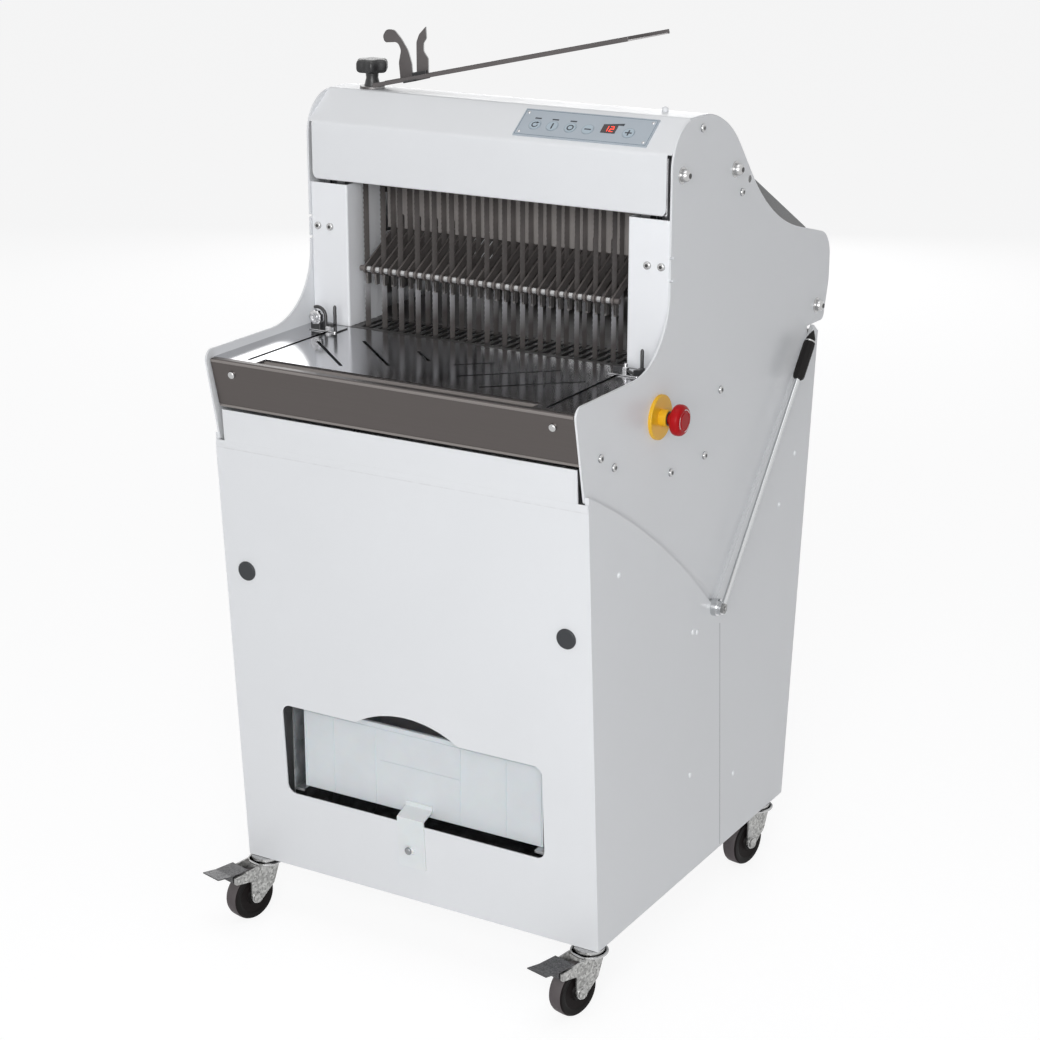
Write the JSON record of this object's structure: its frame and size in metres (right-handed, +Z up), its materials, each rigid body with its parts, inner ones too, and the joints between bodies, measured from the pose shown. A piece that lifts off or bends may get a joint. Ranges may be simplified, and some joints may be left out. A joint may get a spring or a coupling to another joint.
{
  "type": "bread slicer",
  "caption": "Floor-standing bread slicer on casters with two saw frames, a hand feed lever, crumb drawer and bagging blade.",
  "frame": {"origin": "on the floor, in the middle between the side panels, under the crank drive", "axes": "+X to the right seen from the outfeed side, +Y to the infeed at the back, +Z up"},
  "size_m": [0.6561, 0.8187, 1.3207],
  "materials": {
    "white_paint": "semi-gloss powder coat",
    "galvanised": "galvanised sheet",
    "polished_steel": "mirror-polished stainless",
    "brushed_lip": "brushed stainless",
    "stainless": "satin stainless",
    "ground_steel": "ground steel",
    "bearing_iron": "cast",
    "motor_paint": "satin enamel",
    "panel_foil": "foil membrane",
    "yellow_plastic": "gloss",
    "red_plastic": "gloss",
    "white_plastic": "satin",
    "zinc_bolts": "bright zinc",
    "belt_rubber": "matte",
    "box_plastic": "matte",
    "black_plastic": "semi-gloss",
    "frame_steel": "satin",
    "blade_steel": "bright strip",
    "lever_chrome": "bright",
    "cast_aluminium": "satin",
    "black_steel": "semi-gloss",
    "satin_blade": "satin",
    "smoked_cover": "satin",
    "zinc_fork": "zinc plated",
    "pedal_steel": "satin",
    "caster_tyre": "matte",
    "green_plastic": "satin",
    "grey_plastic": "satin"
  },
  "bodies": {
    "cabinet": {"base_side_left": "white_paint", "base_side_right": "white_paint", "front_panel": "white_paint", "rear_panel": "white_paint", "floor_pan": "galvanised", "side_plate_left": "white_paint", "side_plate_right": "white_paint", "top_hood": "white_paint", "pillars": "white_paint", "outfeed_table": "polished_steel", "front_lip": "brushed_lip", "infeed_table": "polished_steel", "infeed_guides": "stainless", "upper_comb": "stainless", "guide_rods": "ground_steel", "bearings": "bearing_iron", "motor": "motor_paint", "drawer_housing": "galvanised", "control_panel": "panel_foil", "estop_collar": "yellow_plastic", "front_plugs": "black_plastic", "fasteners": "zinc_bolts", "drive_belt": "belt_rubber", "control_box": "box_plastic", "cable_gland": "black_plastic"},
    "front_saw": {"front_frame": "frame_steel", "front_blades": "blade_steel"},
    "rear_saw": {"rear_frame": "frame_steel", "rear_blades": "blade_steel"},
    "front_rod_pair": {"front_rods": "frame_steel"},
    "rear_rod_pair": {"rear_rods": "frame_steel"},
    "crank": {"crankshaft": "ground_steel"},
    "motor_rotor": {"motor_pulley": "ground_steel"},
    "lever": {"feed_lever": "lever_chrome", "lever_grip": "black_plastic"},
    "pusher_carriage": {"pusher": "cast_aluminium"},
    "hold_comb": {"hold_down": "stainless"},
    "stop_left": {"loaf_stop_left": "black_steel"},
    "stop_right": {"loaf_stop_right": "black_steel"},
    "estop": {"estop_button": "red_plastic"},
    "start_button": {"start_key": "green_plastic"},
    "jog_button": {"jog_key": "green_plastic"},
    "stop_button": {"stop_key": "red_plastic"},
    "minus_button": {"minus_key": "grey_plastic"},
    "plus_button": {"plus_key": "grey_plastic"},
    "drawer": {"crumb_drawer": "white_plastic", "drawer_tab": "white_plastic"},
    "bag_arm": {"bag_blade": "satin_blade"},
    "bag_knob": {"blade_knob": "black_plastic"},
    "cover": {"rear_cover": "smoked_cover"},
    "caster_front_left": {"fork_front_left": "zinc_fork"},
    "rolling_front_left": {"wheel_front_left": "caster_tyre"},
    "brake_left": {"pedal_front_left": "pedal_steel"},
    "caster_rear_left": {"fork_rear_left": "zinc_fork"},
    "rolling_rear_left": {"wheel_rear_left": "caster_tyre"},
    "caster_front_right": {"fork_front_right": "zinc_fork"},
    "rolling_front_right": {"wheel_front_right": "caster_tyre"},
    "brake_right": {"pedal_front_right": "pedal_steel"},
    "caster_rear_right": {"fork_rear_right": "zinc_fork"},
    "rolling_rear_right": {"wheel_rear_right": "caster_tyre"}
  },
  "joints": [
    {"name": "front_saw_stroke", "type": "slide", "parent": "cabinet", "child": "front_saw", "axis": [0, 0, 1], "range_m": [-0.01, 0.01]},
    {"name": "rear_saw_stroke", "type": "slide", "parent": "cabinet", "child": "rear_saw", "axis": [0, 0, 1], "range_m": [-0.01, 0.01]},
    {"name": "front_rod_swing", "type": "hinge", "parent": "front_saw", "child": "front_rod_pair", "pos_m": [0, -0.081, 0.78], "axis": [1, 0, 0], "range_deg": [-1.7, 1.7]},
    {"name": "rear_rod_swing", "type": "hinge", "parent": "rear_saw", "child": "rear_rod_pair", "pos_m": [0, -0.081, 0.78], "axis": [1, 0, 0], "range_deg": [-1.7, 1.7]},
    {"name": "crank_spin", "type": "hinge", "parent": "cabinet", "child": "crank", "pos_m": [0, -0.081, 0.44], "axis": [1, 0, 0], "continuous": true},
    {"name": "motor_spin", "type": "hinge", "parent": "cabinet", "child": "motor_rotor", "pos_m": [0, 0.13, 0.19], "axis": [1, 0, 0], "continuous": true},
    {"name": "lever_swing", "type": "hinge", "parent": "cabinet", "child": "lever", "pos_m": [0, 0.019, 0.4946], "axis": [1, 0, 0], "range_deg": [0, 55]},
    {"name": "pusher_travel", "type": "slide", "parent": "cabinet", "child": "pusher_carriage", "axis": [0, -1, 0], "range_m": [0, 0.27]},
    {"name": "hold_down_lift", "type": "hinge", "parent": "cabinet", "child": "hold_comb", "pos_m": [0, 0.035, 1.05], "axis": [-1, 0, 0], "range_deg": [0, 10]},
    {"name": "stop_left_slide", "type": "slide", "parent": "cabinet", "child": "stop_left", "axis": [0, -1, 0], "range_m": [0, 0.15]},
    {"name": "stop_right_slide", "type": "slide", "parent": "cabinet", "child": "stop_right", "axis": [0, -1, 0], "range_m": [0, 0.15]},
    {"name": "estop_press", "type": "slide", "parent": "cabinet", "child": "estop", "axis": [-1, 0, 0], "range_m": [0, 0.005], "stiffness_N_per_m": 2000},
    {"name": "start_press", "type": "slide", "parent": "cabinet", "child": "start_button", "axis": [0, 0.5954, -0.8034], "range_m": [0, 0.0006], "stiffness_N_per_m": 500},
    {"name": "jog_press", "type": "slide", "parent": "cabinet", "child": "jog_button", "axis": [0, 0.5954, -0.8034], "range_m": [0, 0.0006], "stiffness_N_per_m": 500},
    {"name": "stop_press", "type": "slide", "parent": "cabinet", "child": "stop_button", "axis": [0, 0.5954, -0.8034], "range_m": [0, 0.0006], "stiffness_N_per_m": 500},
    {"name": "minus_press", "type": "slide", "parent": "cabinet", "child": "minus_button", "axis": [0, 0.5954, -0.8034], "range_m": [0, 0.0006], "stiffness_N_per_m": 500},
    {"name": "plus_press", "type": "slide", "parent": "cabinet", "child": "plus_button", "axis": [0, 0.5954, -0.8034], "range_m": [0, 0.0006], "stiffness_N_per_m": 500},
    {"name": "drawer_pull", "type": "slide", "parent": "cabinet", "child": "drawer", "axis": [0, -1, 0], "range_m": [0, 0.22]},
    {"name": "bag_arm_swivel", "type": "hinge", "parent": "cabinet", "child": "bag_arm", "pos_m": [-0.232, -0.05, 1.2118], "axis": [0, 0, 1], "range_deg": [-90, 90]},
    {"name": "bag_knob_turn", "type": "hinge", "parent": "bag_arm", "child": "bag_knob", "pos_m": [-0.232, -0.05, 1.2118], "axis": [0, 0, 1], "continuous": true},
    {"name": "cover_lift", "type": "hinge", "parent": "cabinet", "child": "cover", "pos_m": [0, 0.11, 1.103], "axis": [1, 0, 0], "range_deg": [0, 70]},
    {"name": "swivel_front_left", "type": "hinge", "parent": "cabinet", "child": "caster_front_left", "pos_m": [-0.279, -0.3065, 0.09], "axis": [0, 0, 1], "continuous": true},
    {"name": "roll_front_left", "type": "hinge", "parent": "caster_front_left", "child": "rolling_front_left", "pos_m": [-0.28723, -0.33949, 0.0375], "axis": [0.9703, -0.2419, 0], "continuous": true},
    {"name": "brake_left_press", "type": "hinge", "parent": "caster_front_left", "child": "brake_left", "pos_m": [-0.29521, -0.37151, 0.078], "axis": [0.9703, -0.2419, 0], "range_deg": [0, 8]},
    {"name": "swivel_rear_left", "type": "hinge", "parent": "cabinet", "child": "caster_rear_left", "pos_m": [-0.279, 0.236, 0.09], "axis": [0, 0, 1], "continuous": true},
    {"name": "roll_rear_left", "type": "hinge", "parent": "caster_rear_left", "child": "rolling_rear_left", "pos_m": [-0.2849, 0.20252, 0.0375], "axis": [0.9848, -0.1736, 0], "continuous": true},
    {"name": "swivel_front_right", "type": "hinge", "parent": "cabinet", "child": "caster_front_right", "pos_m": [0.279, -0.3065, 0.09], "axis": [0, 0, 1], "continuous": true},
    {"name": "roll_front_right", "type": "hinge", "parent": "caster_front_right", "child": "rolling_front_right", "pos_m": [0.27077, -0.33949, 0.0375], "axis": [0.9703, -0.2419, 0], "continuous": true},
    {"name": "brake_right_press", "type": "hinge", "parent": "caster_front_right", "child": "brake_right", "pos_m": [0.26279, -0.37151, 0.078], "axis": [0.9703, -0.2419, 0], "range_deg": [0, 8]},
    {"name": "swivel_rear_right", "type": "hinge", "parent": "cabinet", "child": "caster_rear_right", "pos_m": [0.279, 0.236, 0.09], "axis": [0, 0, 1], "continuous": true},
    {"name": "roll_rear_right", "type": "hinge", "parent": "caster_rear_right", "child": "rolling_rear_right", "pos_m": [0.2731, 0.20252, 0.0375], "axis": [0.9848, -0.1736, 0], "continuous": true}
  ],
  "couplings": [
    {"joint": "rear_saw_stroke", "follows": "front_saw_stroke", "ratio": -1},
    {"joint": "rear_rod_swing", "follows": "front_rod_swing", "ratio": -1},
    {"joint": "motor_spin", "follows": "crank_spin", "ratio": 2},
    {"joint": "pusher_travel", "follows": "lever_swing", "m_per_rad": 0.28}
  ]
}
